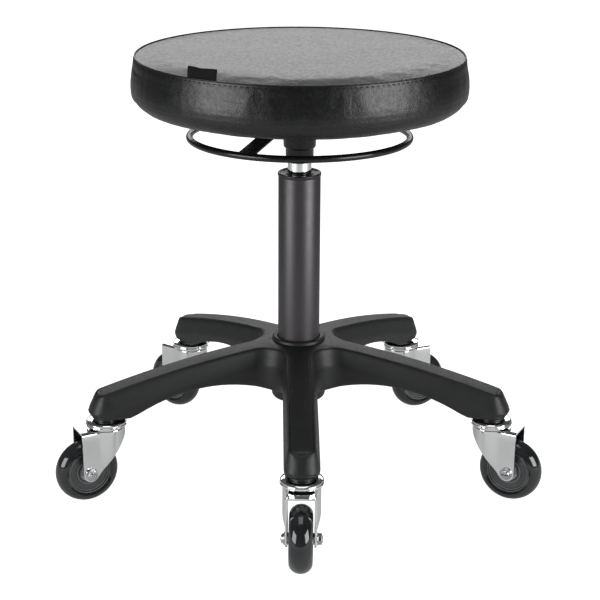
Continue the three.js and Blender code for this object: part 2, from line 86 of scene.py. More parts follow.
# ---------------------------------------------------------------- materials


class Look:
    """A procedural material: a principled shader with helpers that add texture nodes to it."""

    def __init__(self, name, color, roughness, metallic=0.0, extras=()):
        self.material = bpy.data.materials.new(name)
        self.material.use_nodes = True
        self.nodes = self.material.node_tree.nodes
        self.links = self.material.node_tree.links
        self.shader = self.nodes["Principled BSDF"]
        self.shader.inputs["Base Color"].default_value = (*color, 1)
        self.shader.inputs["Roughness"].default_value = roughness
        self.shader.inputs["Metallic"].default_value = metallic
        for socket, value in extras:
            self.shader.inputs[socket].default_value = value
        self.place = self.nodes.new("ShaderNodeTexCoord").outputs["Object"]
        self.normal = None

    def noise(self, scale, detail=3.0, stretch=None):
        node = self.nodes.new("ShaderNodeTexNoise")
        node.inputs["Scale"].default_value = scale
        node.inputs["Detail"].default_value = detail
        self.links.new(self.stretched(stretch), node.inputs["Vector"])
        return node.outputs["Fac"]

    def cells(self, scale, feature="F1"):
        node = self.nodes.new("ShaderNodeTexVoronoi")
        node.feature = feature
        node.inputs["Scale"].default_value = scale
        self.links.new(self.place, node.inputs["Vector"])
        return node.outputs["Distance"]

    def stretched(self, stretch):
        if stretch is None:
            return self.place
        node = self.nodes.new("ShaderNodeMapping")
        node.inputs["Scale"].default_value = stretch
        self.links.new(self.place, node.inputs["Vector"])
        return node.outputs["Vector"]

    def ranged(self, value, low, high, start=0.3, end=0.7):
        node = self.nodes.new("ShaderNodeMapRange")
        for socket, number in zip(("From Min", "From Max", "To Min", "To Max"),
                                  (start, end, low, high)):
            node.inputs[socket].default_value = number
        self.links.new(value, node.inputs["Value"])
        return node.outputs["Result"]

    def bump(self, height, depth, strength=1.0):
        node = self.nodes.new("ShaderNodeBump")
        node.inputs["Distance"].default_value = depth
        node.inputs["Strength"].default_value = strength
        self.links.new(height, node.inputs["Height"])
        if self.normal is not None:
            self.links.new(self.normal, node.inputs["Normal"])
        self.normal = node.outputs["Normal"]
        self.links.new(self.normal, self.shader.inputs["Normal"])
        return self

    def vary_roughness(self, value, low, high, start=0.3, end=0.7):
        ranged = self.ranged(value, low, high, start, end)
        self.links.new(ranged, self.shader.inputs["Roughness"])
        return self

    def vary_color(self, value, dark, light, start=0.3, end=0.7):
        ramp = self.nodes.new("ShaderNodeValToRGB")
        ramp.color_ramp.elements[0].position = start
        ramp.color_ramp.elements[1].position = end
        ramp.color_ramp.elements[0].color = (*dark, 1)
        ramp.color_ramp.elements[1].color = (*light, 1)
        self.links.new(value, ramp.inputs["Fac"])
        self.links.new(ramp.outputs["Color"], self.shader.inputs["Base Color"])
        return self


def vinyl_look():
    look = Look("black_vinyl", (0.009, 0.0095, 0.0095), 0.34,
                extras=[("Specular IOR Level", 0.5)])
    look.vary_color(look.noise(9), (0.004, 0.0042, 0.0042), (0.006, 0.0063, 0.0063))
    look.vary_roughness(look.noise(260, 4), 0.28, 0.40)
    look.bump(look.noise(55, 4, (1, 1, 0.6)), 0.0007, 0.4)
    look.bump(look.noise(240, 4), 0.0003, 0.6)
    look.bump(look.cells(620, "SMOOTH_F1"), 0.00022, 0.6)
    return look.material


def nylon_look():
    look = Look("black_nylon", (0.012, 0.0128, 0.0126), 0.42)
    look.vary_color(look.noise(40, 4), (0.011, 0.0117, 0.0115), (0.015, 0.016, 0.0157))
    look.vary_roughness(look.noise(300, 3), 0.36, 0.5)
    look.bump(look.noise(1300, 3), 0.00025, 0.7)
    look.bump(look.noise(45, 2), 0.0004, 0.35)
    return look.material


def column_look():
    look = Look("column_paint", (0.078, 0.072, 0.078), 0.4, 0.6)
    look.vary_roughness(look.noise(180, 3), 0.36, 0.44)
    look.bump(look.noise(2200, 2), 0.00003, 0.5)
    look.bump(look.noise(60, 2, (1, 1, 0.05)), 0.00006, 0.4)
    return look.material


def chrome_look():
    look = Look("chrome", (0.95, 0.955, 0.96), 0.07, 1.0)
    look.vary_roughness(look.noise(160, 4), 0.05, 0.12)
    look.bump(look.noise(90, 2), 0.0002, 0.25)
    return look.material


def zinc_look():
    look = Look("zinc_steel", (0.62, 0.63, 0.64), 0.24, 1.0)
    look.vary_roughness(look.noise(400, 3), 0.16, 0.34)
    look.vary_color(look.noise(120, 3), (0.52, 0.53, 0.55), (0.68, 0.69, 0.70))
    return look.material


def paint_look(name, color, roughness, gloss=0.5):
    look = Look(name, color, roughness, extras=[("Specular IOR Level", gloss)])
    look.vary_roughness(look.noise(220, 3), roughness - 0.05, roughness + 0.08)
    look.bump(look.noise(700, 2), 0.00005, 0.6)
    return look.material


def plastic_look(name, color, roughness):
    look = Look(name, color, roughness)
    look.vary_roughness(look.noise(250, 3), roughness - 0.06, roughness + 0.08)
    look.bump(look.noise(900, 2), 0.00006, 0.6)
    return look.material


def tyre_look():
    look = Look("tyre_urethane", (0.013, 0.014, 0.0148), 0.08,
                extras=[("Coat Weight", 0.5), ("Coat Roughness", 0.04)])
    look.vary_color(look.noise(55, 2), (0.010, 0.011, 0.012), (0.024, 0.026, 0.027))
    look.vary_roughness(look.noise(140, 3), 0.06, 0.16)
    look.bump(look.noise(30, 2), 0.0002, 0.3)
    return look.material


def core_look(name, color, roughness):
    look = Look(name, color, roughness, extras=[("Coat Weight", 0.4), ("Coat Roughness", 0.1)])
    look.vary_color(look.noise(90, 3), tuple(c * 0.7 for c in color), color)
    look.vary_roughness(look.noise(200, 2), roughness - 0.05, roughness + 0.1)
    return look.material


def rubber_look():
    look = Look("bumper_rubber", (0.02, 0.02, 0.02), 0.75)
    look.bump(look.noise(800, 3), 0.0001, 0.7)
    return look.material


def plywood_look():
    look = Look("plywood", (0.5, 0.33, 0.17), 0.62)
    grain = look.noise(60, 6, (0.12, 1, 8))
    look.vary_color(grain, (0.36, 0.21, 0.10), (0.58, 0.40, 0.22))
    look.bump(grain, 0.0003, 0.5)
    return look.material


def woven_look(name, color, thread, depth):
    look = Look(name, color, 0.8, extras=[("Specular IOR Level", 0.25)])
    weave = []
    for direction in ("X", "Y", "Z"):
        wave = look.nodes.new("ShaderNodeTexWave")
        wave.bands_direction = direction
        wave.inputs["Scale"].default_value = thread
        look.links.new(look.place, wave.inputs["Vector"])
        weave.append(wave.outputs["Fac"])
    for band in weave:
        look.bump(band, depth, 0.5)
    look.vary_color(look.noise(900, 2), tuple(c * 0.6 for c in color), color)
    return look.material


LOOKS = {
    "vinyl": vinyl_look(),
    "nylon": nylon_look(),
    "column": column_look(),
    "chrome": chrome_look(),
    "zinc": zinc_look(),
    "lever": paint_look("lever_paint", (0.005, 0.005, 0.0053), 0.22),
    "steel": paint_look("black_steel", (0.005, 0.0052, 0.0052), 0.24, 0.35),
    "plastic": plastic_look("black_plastic", (0.012, 0.012, 0.012), 0.36),
    "tyre": tyre_look(),
    "core": core_look("wheel_core", (0.085, 0.09, 0.093), 0.18),
    # A lighter copy of the core's finish: painted highlight on the rim's ridges, and the lighter
    # sleeve ring at the hub.
    "core_sleeve_and_highlight": core_look("wheel_core_sleeve_and_highlight", (0.32, 0.33, 0.33), 0.22),
    "rubber": rubber_look(),
    "plywood": plywood_look(),
    "cloth": woven_look("dust_cloth", (0.02, 0.02, 0.02), 420, 0.00015),
    "label": woven_look("woven_label", (0.006, 0.006, 0.006), 700, 0.0001),
    "thread": woven_look("black_thread", (0.006, 0.006, 0.006), 1500, 0.0001),
}

# ---------------------------------------------------------------- mesh helpers


def arc(centre, radius, start, end, steps):
    """Points on a circular arc of an outline, angles in degrees."""
    points = []
    for i in range(steps + 1):
        turn = math.radians(start + (end - start) * i / steps)
        points.append((centre[0] + radius * math.cos(turn), centre[1] + radius * math.sin(turn)))
    return points


def grid_mesh(rows, wrap_rows=False, wrap_columns=False):
    """Vertices and quads of a grid given as rows of points, closed round either way."""
    verts = [point for row in rows for point in row]
    width = len(rows[0])
    faces = []
    row_count = len(rows) if wrap_rows else len(rows) - 1
    column_count = width if wrap_columns else width - 1
    for i in range(row_count):
        for j in range(column_count):
            a = i * width + j
            b = i * width + (j + 1) % width
            c = ((i + 1) % len(rows)) * width + (j + 1) % width
            d = ((i + 1) % len(rows)) * width + j
            faces.append((a, b, c, d))
    return verts, faces


def lathe(outline, segments=72):
    """A turned solid from an outline of (radius, height) that starts and ends on the axis."""
    return turned(outline, segments, closed=False)


def ring(outline, segments=72):
    """A turned ring from an outline that closes on itself."""
    return turned(outline, segments, closed=True)


def turned(outline, segments, closed):
    rows = []
    for i in range(segments):
        turn = TAU * i / segments
        rows.append([(r * math.cos(turn), r * math.sin(turn), z) for r, z in outline])
    return grid_mesh(rows, wrap_rows=True, wrap_columns=closed)


def joined(*parts):
    """Several (vertices, faces) pairs as one."""
    verts, faces = [], []
    for part_verts, part_faces in parts:
        start = len(verts)
        verts.extend(part_verts)
        faces.extend(tuple(start + i for i in face) for face in part_faces)
    return verts, faces


def moved(part, matrix):
    verts, faces = part
    return [tuple(matrix @ Vector(v)) for v in verts], faces


def block(x0, x1, y0, y1, z0, z1):
    verts = [(x, y, z) for x in (x0, x1) for y in (y0, y1) for z in (z0, z1)]
    faces = [(0, 1, 3, 2), (4, 6, 7, 5), (0, 4, 5, 1), (2, 3, 7, 6), (0, 2, 6, 4), (1, 5, 7, 3)]
    return verts, faces


def prism(outline, z0, z1):
    """A closed outline of (x, y) points pushed from z0 to z1."""
    count = len(outline)
    verts = [(x, y, z0) for x, y in outline] + [(x, y, z1) for x, y in outline]
    faces = [tuple(reversed(range(count))), tuple(range(count, 2 * count))]
    for i in range(count):
        j = (i + 1) % count
        faces.append((i, j, count + j, count + i))
    return verts, faces


def build(name, part, look, place=Matrix.Identity(4), bevel=0.0, angle=35):
    """An object from (vertices, faces) in millimetres, welded, smooth shaded and facing out."""
    verts, faces = part
    mesh = bpy.data.meshes.new(name)
    mesh.from_pydata([tuple(place @ (Vector(v) * MM)) for v in verts], [], faces)
    body = bmesh.new()
    body.from_mesh(mesh)
    bmesh.ops.remove_doubles(body, verts=body.verts, dist=2e-6)
    bmesh.ops.dissolve_degenerate(body, edges=body.edges, dist=1e-6)
    bmesh.ops.recalc_face_normals(body, faces=body.faces)
    body.to_mesh(mesh)
    body.free()
    item = bpy.data.objects.new(name, mesh)
    bpy.context.scene.collection.objects.link(item)
    mesh.materials.append(LOOKS[look])
    if bevel:
        add_bevel(item, bevel * MM)
    mesh.shade_smooth()
    mesh.set_sharp_from_angle(angle=math.radians(angle))
    return item


def add_bevel(item, width):
    modifier = item.modifiers.new("bevel", "BEVEL")
    modifier.width = width
    modifier.segments = 2
    modifier.limit_method = "ANGLE"
    modifier.angle_limit = math.radians(40)
    modifier.harden_normals = False


def stand(item, body, *nodes):
    """Puts a piece on a body, in place of the CAD nodes named."""
    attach(item, body)
    if nodes:
        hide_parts(*nodes)
    return item


AT_COLUMN = Matrix.Translation(COLUMN)

# ---------------------------------------------------------------- star base


def arm_top(r):
    return ARM_CROWN["z"] - ARM_CROWN["fall"] * r - ARM_CROWN["droop"] * r * r


def arm_bottom(r):
    off = r - ARM_ARCH["at"]
    return max(ARM_ARCH["boss"], ARM_ARCH["z"] - ARM_ARCH["curve"] * off * off)


def land_edge():
    """Half of an arm's land edge, nose to valley: point, outward normal, inner point, hub flag."""
    nose, half, corner = LAND["nose"], LAND["half"], LAND["corner"]
    edge = [((nose, 0), (1, 0), (CASTER_RADIUS, 0), False)]
    for turn in range(0, 91, 15):
        nx, ny = math.cos(math.radians(turn)), math.sin(math.radians(turn))
        point = (nose - corner + corner * nx, half - corner + corner * ny)
        edge.append((point, (nx, ny), (CASTER_RADIUS, 0), False))
    valley = math.pi / ARM_COUNT
    centre = (half + LAND["fillet"]) / math.tan(valley)
    steps = 18
    for i in range(1, steps):
        part = i / steps
        x = nose - corner + (centre - nose + corner) * part
        inner = CASTER_RADIUS + (HUB["outer"] - CASTER_RADIUS) * part
        edge.append(((x, half), (0, 1), (inner, 0), False))
    steps = 9
    for i in range(steps + 1):
        part = i / steps
        turn = -math.pi / 2 - part * (math.pi / 2 - valley)
        nx, ny = math.cos(turn), math.sin(turn)
        point = (centre + LAND["fillet"] * nx, half + LAND["fillet"] * (1 + ny))
        inner = (HUB["outer"] * math.cos(part * valley), HUB["outer"] * math.sin(part * valley))
        edge.append((point, (-nx, -ny), inner, True))
    return edge


# Steps outwards from the land's edge and down from its top: a thin groove, then a soft shoulder.
SHOULDER = [(-0.9, 0), (0, 0.15), (0.35, 0.9), (1.0, 1.0), (1.4, 0.5), (2.0, 0.8), (2.9, 2.0),
            (4.0, 5.0), (5.1, 9.5), (6.4, 15), (7.5, 19.5), (7.9, 21.5), (7.9, 24)]
WALL = [(7.8, 6.8), (7.6, 4.5), (7.1, 2.4), (6.3, 0.8), (5.2, 0), (3.6, 0), (3.2, 1)]


def nose_slope(point):
    """How far the top of the arm draws in towards its nose, in millimetres."""
    return 5.6 * min(1.0, max(0.0, (math.hypot(*point) - 245) / 9))


def base_column(point, normal, inner):
    """One cut through an arm, from the inner point over the land, down and back underneath."""
    draw = nose_slope(point)
    top = arm_top(math.hypot(*point))
    inner_top = arm_top(math.hypot(*inner))
    rows = []
    for part in (0, 0.3, 0.6, 0.85):
        x = inner[0] + (point[0] - (0.9 + draw) * normal[0] - inner[0]) * part
        y = inner[1] + (point[1] - (0.9 + draw) * normal[1] - inner[1]) * part
        rows.append((x, y, arm_top(math.hypot(x, y))))

    def at(out, height):
        x, y = point[0] + out * normal[0], point[1] + out * normal[1]
        return x, y, height(arm_bottom(math.hypot(x, y)))

    for out, drop in SHOULDER:
        inward = draw * max(0.35, 1 - drop / 24)
        rows.append(at(out - inward, lambda floor, drop=drop: max(top - drop, floor + 8)))
    for out, lift in WALL:
        inward = draw * (0.9 - 0.55 * lift / 7) if out > 3.6 else 0.3 * draw
        rows.append(at(out - inward, lambda floor, lift=lift: floor + lift))
    rows.append(at(1.5, lambda floor: top - 10))
    rows.append((inner[0], inner[1], inner_top - 5))
    return rows


def hub_column(inner):
    """The hub under and over an inner point: tube, bore, then the collar ring and its groove."""
    ux, uy = inner[0] / HUB["outer"], inner[1] / HUB["outer"]
    outer, bore, low = HUB["outer"], HUB["bore"], HUB["bottom"]
    land = arm_top(outer)
    outline = [(outer, land - 5), (outer, low + 6), (32.4, low + 2), (31, low), (26.3, low),
               (bore, low + 1), (bore, 176), (25.9, 176.9), (27.2, 177.2), (29.4, 177.1),
               (30.8, 176.4), (31.3, 175.2), (31.5, 173.4), (32.1, 172.9), (outer, land)]
    return [(r * ux, r * uy, z) for r, z in outline]


def base_shell(first_arm):
    half = land_edge()
    mirrored = [((p[0], -p[1]), (n[0], -n[1]), (i[0], -i[1]), h) for p, n, i, h in half]
    arm = mirrored[::-1] + half[1:]
    skins, hubs = [], []
    for k in range(ARM_COUNT):
        turn = Matrix.Rotation(first_arm + TAU * k / ARM_COUNT, 3, "Z")
        for point, normal, inner, at_hub in arm[1:]:
            skins.append([tuple(turn @ Vector(p)) for p in base_column(point, normal, inner)])
            hub = [tuple(turn @ Vector(p)) for p in hub_column(inner)] if at_hub else None
            hubs.append(hub)
    parts = [grid_mesh(skins, wrap_rows=True)]
    for hub, following in zip(hubs, hubs[1:] + hubs[:1]):
        if hub and following:
            parts.append(grid_mesh([hub, following]))
    return joined(*parts)


def arm_ribs(angle):
    """Ribs and the caster socket under one arm."""
    turn = Matrix.Rotation(angle, 4, "Z")
    start, end, steps = 31.5, 232, 16
    stations = [start + i * (end - start) / steps for i in range(steps + 1)]
    outline = [(r, arm_top(r) - 2) for r in stations]
    outline += [(r, arm_bottom(r) + 8) for r in reversed(stations)]
    upright = Matrix.Rotation(math.pi / 2, 4, "X")
    parts = [moved(prism(outline, -1.25, 1.25), turn @ upright)]
    for r in (85, 110, 140, 170, 200):
        high, low = arm_top(r) - 2.5, arm_bottom(r) + 8
        half = LAND["half"]
        rib = [(-half, high), (-half - 3.8, high - 11), (-half - 5.4, low), (half + 5.4, low),
               (half + 3.8, high - 11), (half, high)]
        across = Matrix.Translation((r, 0, 0)) @ Matrix.Rotation(math.pi / 2, 4, "Z") @ upright
        parts.append(moved(prism(rib, -1.1, 1.1), turn @ across))
    socket = ring([(5.8, 102), (9.2, 102), (10, 103), (10, 132), (5.8, 132)], 32)
    parts.append(moved(socket, turn @ Matrix.Translation((CASTER_RADIUS, 0, 0))))
    return joined(*parts)


def star_base():
    caster = Vector(JOINTS["caster_1_swivel"]["pos_m"]) - COLUMN
    first_arm = math.atan2(caster.y, caster.x)
    shell = build("base_shell", base_shell(first_arm), "nylon", AT_COLUMN, angle=50)
    stand(shell, "stand", *[f"base_arm_{k + 1}" for k in range(ARM_COUNT)])
    for k in range(ARM_COUNT):
        ribs = arm_ribs(first_arm + TAU * k / ARM_COUNT)
        item = build(f"base_ribs_{k + 1}", ribs, "nylon", AT_COLUMN, bevel=0.5)
        stand(item, "stand")


# ---------------------------------------------------------------- column and gas lift


def gas_lift():
    tube = [(23.2, 99), (24, 99), (25, 100), (25, 374.9), (24.6, 375.7), (23.6, 375.7),
            (23.2, 375.2)]
    stand(build("column_tube_skin", ring(tube, 96), "column", AT_COLUMN), "stand", "column_tube")
    disc = [(5.6, 99), (22.4, 99), (22.9, 99.5), (22.9, 101.5), (22.4, 102), (5.6, 102)]
    stand(build("column_floor_disc", ring(disc, 64), "zinc", AT_COLUMN), "stand", "column_floor")
    guide = [(14.3, 300), (22.9, 300), (22.9, 376), (25.4, 376), (25.7, 376.6), (25.7, 378.6)]
    guide += arc((24.4, 378.8), 1.3, 0, 90, 4)
    guide += [(22.6, 380), (21.9, 379.2), (17.2, 378.6), (16.4, 379.2), (15.4, 379.4),
              (14.3, 378.6)]
    stand(build("column_cap", ring(guide, 96), "plastic", AT_COLUMN), "stand", "column_guide")
    cylinder = [(5.3, 128), (13, 128), (14, 129.5), (14, 405), (13, 433), (12.4, 434),
                (3.5, 434), (3.5, 418), (12.2, 418), (12.2, 133), (5.3, 133)]
    item = build("gas_cylinder_skin", ring(cylinder, 96), "chrome", AT_COLUMN)
    stand(item, "seat", "gas_cylinder")
    rod = [(0, 95.5), (4, 95.5), (5, 96.5), (5, 272), (4, 273.5), (11.2, 274), (11.9, 275),
           (11.9, 278), (11, 278.6), (11, 280), (11.9, 280.6), (11.9, 283), (11, 284), (0, 284)]
    stand(build("piston_rod_skin", lathe(rod, 48), "zinc", AT_COLUMN), "rod", "piston_rod")
    bearing = [(5.3, 102.3), (12, 102.3), (12, 103.4), (10.6, 103.5), (10.6, 105.1),
               (12, 105.2), (12, 106.3), (5.3, 106.3)]
    item = build("thrust_bearing_race", ring(bearing, 48), "zinc", AT_COLUMN, bevel=0.15)
    stand(item, "rod", "thrust_bearing")
    bumper = [(5.3, 106.6), (10.2, 106.6), (11, 107.6), (10.4, 111), (11, 114), (10.4, 118),
              (11, 121), (10.4, 124), (9.4, 125), (5.3, 125)]
    item = build("rubber_bumper_skin", ring(bumper, 48), "rubber", AT_COLUMN)
    stand(item, "rod", "rubber_bumper")
    clip = [(5.3, 97.1), (8.6, 97.1), (9, 97.4), (9, 98.2), (8.6, 98.6), (5.3, 98.6)]
    stand(build("retaining_washer", ring(clip, 48), "zinc", AT_COLUMN), "rod", "retaining_clip")
    button = [(0, 424), (2.8, 424), (3.2, 424.6), (3.2, 447), (2.5, 447.9), (0, 447.9)]
    item = build("release_pin", lathe(button, 32), "zinc", AT_COLUMN)
    stand(item, "button", "release_button")


# ---------------------------------------------------------------- socket and ring lever


def sector_wall(inner, outer, z0, z1, start, end, steps=20):
    """A piece of tube wall between two angles, in degrees."""
    outline = arc((0, 0), outer, start, end, steps) + arc((0, 0), inner, end, start, steps)
    return prism(outline, z0, z1)


def seat_socket():
    outline = [(14.3, 393), (15.3, 393), (16, 393.7), (16.4, 395), (16.4, 399.5), (16, 400.3),
               (16.5, 401.2), (16.5, 408.6), (17, 409.6), (18.4, 410.4), (19, 411.6),
               (19.2, 418.4), (19.8, 420.2), (20.3, 422), (20.4, 424.5), (20, 426), (19.4, 427),
               (19.6, 432), (26, 436), (27, 437), (26.4, 437.6), (13.3, 437.6), (13.3, 434),
               (14.3, 405)]
    parts = [ring(outline, 72)]
    for angle in LEVER_ANGLES:
        parts.append(sector_wall(24, 27, 437, 452.4, angle + 28, angle + 152))
    item = build("seat_socket_skin", joined(*parts), "steel", AT_COLUMN, bevel=0.3)
    stand(item, "seat", "seat_socket")


def lever_place():
    """The ring hangs a little out of level from its hub."""
    top = LEVER["top"] * MM
    swing = Matrix.Rotation(math.radians(-LEVER_PLAY), 4, "X")
    return AT_COLUMN @ Matrix.Translation((0, 0, top)) @ swing @ Matrix.Translation((0, 0, -top))


def bead(points, radius):
    """A row of overlapping flattened drops, as a weld leaves."""
    parts = []
    for i, point in enumerate(points):
        size = radius * (0.85 + 0.3 * noise.noise(Vector((i * 0.7, point[0] * 0.1, 3.1))))
        outline = [(size * math.cos(t), size * 0.75 * math.sin(t))
                   for t in (math.radians(a) for a in range(-90, 91, 30))]
        outline[0], outline[-1] = (0, outline[0][1]), (0, outline[-1][1])
        parts.append(moved(lathe(outline, 12), Matrix.Translation(point)))
    return joined(*parts)


def lever_bar(angle):
    """A flat bar from the ring up to the hub, with soft edges, and its weld on the ring."""
    slope = math.radians(LEVER["slope"])
    outer, inner = LEVER["radius"] - 3.6, 22.4
    length = (outer - inner) / math.cos(slope)
    middle = (outer + inner) / 2
    rise = (LEVER["radius"] - middle) * math.tan(slope)
    half, thick = LEVER["width"] / 2, LEVER["thick"] / 2
    turn = Matrix.Rotation(math.radians(angle), 4, "Z")
    place = turn @ Matrix.Translation((middle, 0, LEVER["z"] + rise))
    bar = block(-length / 2, length / 2, -half, half, -thick, thick)
    points = [(LEVER["radius"] - 4.3, y, LEVER["z"] + 2.4) for y in np.linspace(-9, 9, 13)]
    weld = moved(bead(points, 1.5), turn)
    return moved(bar, place @ Matrix.Rotation(slope, 4, "Y")), weld


def ring_lever():
    place = lever_place()
    section = [(LEVER["radius"] + r, LEVER["z"] + z) for r, z in arc((0, 0), 4, 0, 345, 23)]
    item = build("lever_ring_rod", ring(section, 192), "lever", place)
    stand(item, "lever", "lever_ring")
    for i, angle in enumerate(LEVER_ANGLES):
        bar, weld = lever_bar(angle)
        item = build(f"lever_bar_{i + 1}", bar, "lever", place, bevel=0.7)
        stand(item, "lever", f"lever_arm_{i + 1}")
        stand(build(f"lever_weld_{i + 1}", weld, "lever", place), "lever")
    seam = Matrix.Rotation(math.radians(-112), 4, "Z")
    seam = seam @ Matrix.Translation((LEVER["radius"], 0, LEVER["z"]))
    collar = [(3.7, -0.7), (4.15, -0.5), (4.25, 0), (4.15, 0.5), (3.7, 0.7)]
    joint = moved(ring(collar, 32), seam @ Matrix.Rotation(math.pi / 2, 4, "X"))
    stand(build("lever_ring_joint", joint, "lever", place), "lever")
    hub = [(0, 448.2), (21, 448.2), (22, 449), (22, 450.6), (20.4, 452.2), (19, 452.4),
           (6, 452.4), (5, 451.6), (0, 451.6)]
    stand(build("lever_hub_disc", lathe(hub, 64), "lever", AT_COLUMN), "lever", "lever_hub")


# ---------------------------------------------------------------- seat


def cushion_outline():
    """The vinyl from the top seam over the side and round under the board, outside first."""
    side = [(189.3, 519.3), (190.0, 518.6), (190.5, 517.3), (190.9, 515.6), (191.4, 513.6),
            (192.2, 510), (193.3, 504.5), (194.4, 497.5), (195.3, 490), (195.6, 484),
            (195.2, 478), (194.0, 472.5)]
    side += arc((172.9, 481), 21.6, -18, -76, 10)
    side += [(173, 458.9), (168, 457.5), (162, 456.7), (156, 456.2), (152, 456.2), (150, 456.6)]
    return side


def top_outline():
    """The top panel from its middle out to the seam."""
    outline = [(0, 521.6)]
    for r in [*range(6, 160, 6), *range(160, 189, 2)]:
        outline.append((r, 521.6 - 3.2 * max(0, (r - 140) / 48) ** 2.6))
    return outline + [(188.8, 518.0), (189.2, 517.7)]


def spread(outline, steps):
    """An outline resampled to even steps along its length."""
    points = np.array(outline, float)
    runs = np.r_[0, np.cumsum(np.hypot(*np.diff(points, axis=0).T))]
    marks = np.linspace(0, runs[-1], steps)
    return np.c_[np.interp(marks, runs, points[:, 0]), np.interp(marks, runs, points[:, 1])]


def simulated_foam():
    """A short cloth run of the stuffed cover, as a surface to measure from."""
    shell = top_outline()[:-3:3] + [(187.8, 518.2)] + [(r - 1.2, z) for r, z in
                                                      cushion_outline()[2:-3]]
    part = lathe(shell + [(0, 457.2)], 96)
    item = build("foam_trial", part, "vinyl", AT_COLUMN)
    remesh = item.modifiers.new("remesh", "REMESH")
    remesh.mode = "VOXEL"
    remesh.voxel_size = 0.0065
    bpy.context.view_layer.objects.active = item
    bpy.ops.object.modifier_apply(modifier="remesh")
    pinned = item.vertex_groups.new(name="pinned")
    low = (SEAT_UNDER + 3) * MM
    seam = (SEAM["z"] - 1.5) * MM
    for vert in item.data.vertices:
        out = (vert.co - COLUMN).xy.length
        at_seam = abs(out - SEAM["radius"] * MM) < 0.0035 and vert.co.z > seam
        if vert.co.z < low or at_seam:
            pinned.add([vert.index], 1.0, "REPLACE")
    cloth = item.modifiers.new("cloth", "CLOTH")
    cloth.settings.vertex_group_mass = "pinned"
    cloth.settings.use_pressure = True
    cloth.settings.uniform_pressure_force = 1.5
    cloth.settings.tension_stiffness = 60
    cloth.settings.compression_stiffness = 60
    cloth.settings.bending_stiffness = 6
    cloth.settings.effector_weights.gravity = 0
    cloth.settings.quality = 6
    cloth.point_cache.frame_end = CLOTH_FRAMES
    for step in range(1, CLOTH_FRAMES + 1):
        bpy.context.scene.frame_set(step)
    bpy.ops.object.modifier_apply(modifier="cloth")
    bpy.context.scene.frame_set(1)
    mesh = item.data
    tree = BVHTree.FromPolygons([v.co.copy() for v in mesh.vertices],
                                [tuple(p.vertices) for p in mesh.polygons])
    bpy.data.objects.remove(item)
    return tree


def swell(tree, point, normal, cap):
    """How far the simulated cover stands off a point along its normal, within a cap."""
    if tree is None:
        return 0.0
    start = point + normal * 0.02
    hit = tree.ray_cast(start, -normal, 0.04)[0]
    if hit is None:
        return 0.0
    return max(-cap, min(cap, (hit - point).dot(normal)))


def creases(theta, z):
    """Small wrinkles of stretched vinyl, in millimetres."""
    around = Vector((math.cos(theta), math.sin(theta), 0))
    broad = noise.noise(around * 3.1 + Vector((0, 0, z * 0.012))) * 0.55
    pulls = noise.noise(around * 17 + Vector((0, 0, z * 0.035 + 9))) * 0.34
    fine = noise.noise(around * 46 + Vector((0, 0, z * 0.11 + 4))) * 0.16
    return broad + pulls + fine if z < SEAM["z"] - 3 else 0.0


def top_waves(x, y):
    """Faint hollows across the flat top, in millimetres."""
    broad = noise.noise(Vector((x * 0.009, y * 0.013, 2.2))) * 0.6
    small = noise.noise(Vector((x * 0.04, y * 0.06, 7.5))) * 0.06
    return broad + small


def puckered(theta, offset):
    """The pull of the topstitches on the band just below the seam."""
    pitch = TAU / STITCHES
    beat = 0.5 + 0.5 * math.cos(TAU * (theta / pitch))
    return -0.35 * beat * math.exp(-(offset / 1.6) ** 2)


def cushion():
    tree = simulated_foam()
    segments = 376
    band = spread(cushion_outline(), 96)
    top = np.array(top_outline())
    rows = []
    for i in range(segments):
        theta = TAU * i / segments
        c, s = math.cos(theta), math.sin(theta)
        row = []
        for r, z in top[1:]:
            point = Vector((COLUMN.x + r * c * MM, COLUMN.y + r * s * MM, z * MM))
            fade = min(1.0, max(0.0, (186 - r) / 20))
            rise = swell(tree, point, Vector((0, 0, 1)), 0.0022) / MM
            rise = fade * (0.2 * rise + top_waves(r * c, r * s))
            row.append((r * c, r * s, z + rise))
        for j, (r, z) in enumerate(band):
            before, after = band[max(j - 1, 0)], band[min(j + 1, len(band) - 1)]
            run = Vector((after[0] - before[0], after[1] - before[1])).normalized()
            nr, nz = -run.y, run.x
            normal = Vector((nr * c, nr * s, nz))
            point = Vector((COLUMN.x + r * c * MM, COLUMN.y + r * s * MM, z * MM))
            fade = min(1.0, max(0.0, (SEAM["z"] - z) / 12)) * min(1.0, max(0.0, (z - 457) / 6))
            push = fade * 0.5 * swell(tree, point, normal, 0.0016) / MM
            push += fade * creases(theta, z)
            push += puckered(theta, SEAM["z"] - z - STITCH_DROP) if z > 510 else 0.0
            row.append(((r + push * nr) * c, (r + push * nr) * s, z + push * nz))
        rows.append(row)
    skin = grid_mesh(rows, wrap_rows=True)
    first = [row[0] for row in rows]
    middle = (0, 0, sum(p[2] for p in first) / segments)
    cap = ([middle] + first, [(0, 1 + i, 1 + (i + 1) % segments) for i in range(segments)])
    back = [[row[-1] for row in rows], [(p[0] * 0.999, p[1] * 0.999, 458.4)
                                        for p in (row[-1] for row in rows)],
            [(p[0] * 1.14, p[1] * 1.14, 458.4) for p in (row[-1] for row in rows)]]
    lining = grid_mesh(back, wrap_columns=True)
    item = build("seat_cushion_cover", joined(skin, cap, lining), "vinyl", AT_COLUMN, angle=60)
    stand(item, "seat", "seat_cushion")


def stitch_shape(length, radius):
    """One thread stitch, a small rounded bar along X."""
    rows = []
    for x, scale in ((-1, 0.1), (-0.8, 0.75), (-0.35, 1), (0.35, 1), (0.8, 0.75), (1, 0.1)):
        rows.append([(x * length / 2, radius * scale * math.cos(t), radius * scale * math.sin(t))
                     for t in (TAU * k / 6 for k in range(6))])
    ends = [tuple(reversed(range(6))), tuple(range(30, 36))]
    verts, faces = grid_mesh(rows, wrap_columns=True)
    return verts, faces + ends


